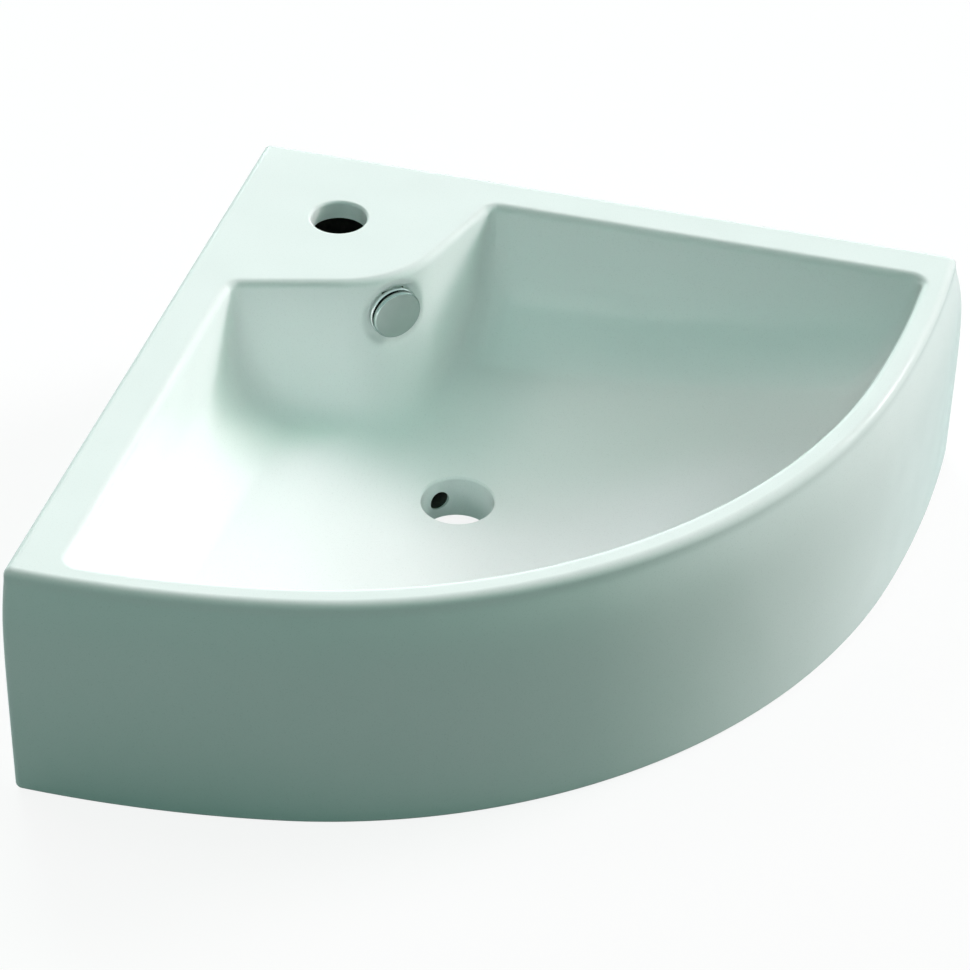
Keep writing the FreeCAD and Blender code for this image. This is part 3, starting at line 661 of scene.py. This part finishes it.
# ---------------------------------------------------------------- floor
# A wide pale floor just under the foot. The camera sees it nearly white and still with
# the basin's shadow, other light sees it grey, and mirror reflections see it even.
FLOOR_SIZE, FLOOR_LEVEL = 6.0, -0.1502
EVEN_LIGHT = (0.55, 0.72, 0.70)
floor_mesh = bpy.data.meshes.new("floor")
floor_mesh.from_pydata([(x * FLOOR_SIZE, y * FLOOR_SIZE, FLOOR_LEVEL)
                        for x, y in ((-1, -1), (1, -1), (1, 1), (-1, 1))], [], [(0, 1, 2, 3)])
floor = bpy.data.objects.new("floor", floor_mesh)
bpy.context.collection.objects.link(floor)


def mixed(nodes, links, factor, first, second):
    """A shader between two."""
    mix = nodes.new("ShaderNodeMixShader")
    for socket, output in zip(mix.inputs, (factor, first, second)):
        links.new(output, socket)
    return mix.outputs[0]


pale, nodes, links, _ = new_material("pale floor", 0.5)
nodes.clear()
diffuse = nodes.new("ShaderNodeBsdfDiffuse")
glow, even = nodes.new("ShaderNodeEmission"), nodes.new("ShaderNodeEmission")
even.inputs["Color"].default_value = (*EVEN_LIGHT, 1)
path = nodes.new("ShaderNodeLightPath")
seen, mirrored = path.outputs["Is Camera Ray"], path.outputs["Is Glossy Ray"]
links.new(blend(nodes, links, seen, (0.35, 0.35, 0.35), (0.95, 0.95, 0.95)),
          diffuse.inputs["Color"])
lit = mixed(nodes, links, calc(nodes, links, "Math", "MULTIPLY", seen, 0.88),
            diffuse.outputs[0], glow.outputs[0])
links.new(mixed(nodes, links, mirrored, lit, even.outputs[0]),
          nodes.new("ShaderNodeOutputMaterial").inputs["Surface"])
floor_mesh.materials.append(pale)

# ---------------------------------------------------------------- light
# The light comes from soft patches of sky: each has an azimuth from +X towards +Y and a
# height in degrees, a tightness, and a colour. It falls off as the exponential of the
# tightness times the cosine of the angle from the patch's middle less one. The camera
# sees a white sky instead, and mirror reflections see an even pale one.
SKY = [
    (270, 55, 10, (0.41, 1.00, 0.80)),
    (120, 15, 60, (22.59, 28.35, 26.49)),
    (30, 30, 60, (5.99, 9.16, 7.35)),
    (150, 60, 60, (5.20, 4.62, 4.60)),
    (90, 75, 60, (3.25, 2.42, 2.70)),
    (40, 20, 200, (45.90, 43.80, 43.00)),
    (50, 30, 200, (41.00, 32.90, 39.80)),
]
world = bpy.data.worlds.new("studio")
bpy.context.scene.world = world
world.use_nodes = True
nodes, links = world.node_tree.nodes, world.node_tree.links
nodes.clear()
way = nodes.new("ShaderNodeTexCoord").outputs["Generated"]
total = None
for azimuth, height, tight, colour in SKY:
    turn, rise = np.radians(azimuth), np.radians(height)
    aim = tight * np.array([np.cos(rise) * np.cos(turn), np.cos(rise) * np.sin(turn), np.sin(rise)])
    toward = calc(nodes, links, "VectorMath", "DOT_PRODUCT", way, aim)
    fall = calc(nodes, links, "Math", "SUBTRACT", toward, tight)
    bright = calc(nodes, links, "Math", "EXPONENT", fall)
    patch = calc(nodes, links, "VectorMath", "MULTIPLY", bright, colour)
    total = calc(nodes, links, "VectorMath", "ADD", total, patch) if total else patch
room, white = nodes.new("ShaderNodeBackground"), nodes.new("ShaderNodeBackground")
path = nodes.new("ShaderNodeLightPath")
links.new(blend(nodes, links, path.outputs["Is Glossy Ray"], total, EVEN_LIGHT),
          room.inputs["Color"])
white.inputs["Color"].default_value = (1, 1, 1, 1)
links.new(mixed(nodes, links, path.outputs["Is Camera Ray"], room.outputs[0], white.outputs[0]),
          nodes.new("ShaderNodeOutputWorld").inputs["Surface"])

# ---------------------------------------------------------------- camera
# It stands in front, to the right and above, as the photograph's did: the lens is given
# as a share of the picture's 970 pixels, and the three axes and the place are fitted.
camera_data = bpy.data.cameras.new("camera")
camera_data.sensor_width = 36.0
camera_data.lens = 2895.7 / 970 * 36.0
camera_data.clip_end = 50
camera = bpy.data.objects.new("camera", camera_data)
bpy.context.collection.objects.link(camera)
right, up, back = ((0.96628507, 0.25628, 0.02477338), (-0.17818125, 0.59614442, 0.78285584),
                   (0.18586178, -0.76087607, 0.62170975))
place = (0.525716, -1.525123, 0.996703)
camera.matrix_world = Matrix([[right[0], up[0], back[0], place[0]],
                              [right[1], up[1], back[1], place[1]],
                              [right[2], up[2], back[2], place[2]], [0, 0, 0, 1]])
bpy.context.scene.camera = camera
bpy.context.scene.view_settings.view_transform = "Standard"
